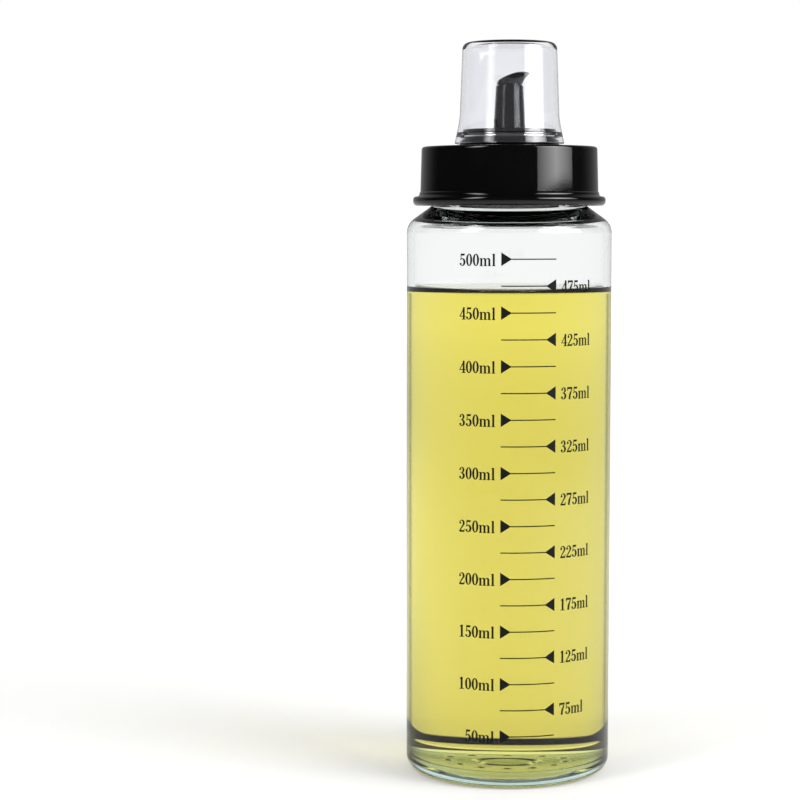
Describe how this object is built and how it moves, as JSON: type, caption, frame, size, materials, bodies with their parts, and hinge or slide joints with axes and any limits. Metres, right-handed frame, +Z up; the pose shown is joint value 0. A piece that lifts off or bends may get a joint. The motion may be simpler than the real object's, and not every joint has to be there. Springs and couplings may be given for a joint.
{
  "type": "oil bottle",
  "caption": "Clear glass cylinder bottle of cooking oil with a screw-on black pouring lid, a slanted spout in a drip collar and a clear pull-off dust cap.",
  "frame": {"origin": "on the ground at the bottle's axis, the centre of the bounding box's lowest face", "axes": "+Z up along the bottle's axis; +X to the side that the spout's lip points to; -Y is the side seen in the picture"},
  "size_m": [0.0666, 0.0666, 0.2372],
  "materials": {
    "clear_glass": "polished clear",
    "golden_oil": "clear liquid",
    "white_silicone": "satin",
    "black_plastic": "glossy",
    "clear_plastic": "polished clear"
  },
  "bodies": {
    "bottle": {"glass_bottle": "clear_glass", "oil_fill": "golden_oil"},
    "pourer": {"pourer_insert": "black_plastic", "gasket": "white_silicone"},
    "lid": {"screw_cap": "black_plastic"},
    "dust_cap": {"dust_cap": "clear_plastic"}
  },
  "joints": [
    {"name": "lid_rise", "type": "slide", "parent": "bottle", "child": "pourer", "axis": [0, 0, 1], "range_m": [0, 0.012]},
    {"name": "lid_turn", "type": "hinge", "parent": "pourer", "child": "lid", "pos_m": [0, 0, 0.1993], "axis": [0, 0, 1], "range_deg": [0, 1080]},
    {"name": "dust_cap_pull", "type": "slide", "parent": "pourer", "child": "dust_cap", "axis": [0, 0, 1], "range_m": [0, 0.04]}
  ],
  "couplings": [
    {"joint": "lid_rise", "follows": "lid_turn", "m_per_rad": 0.0006366}
  ]
}
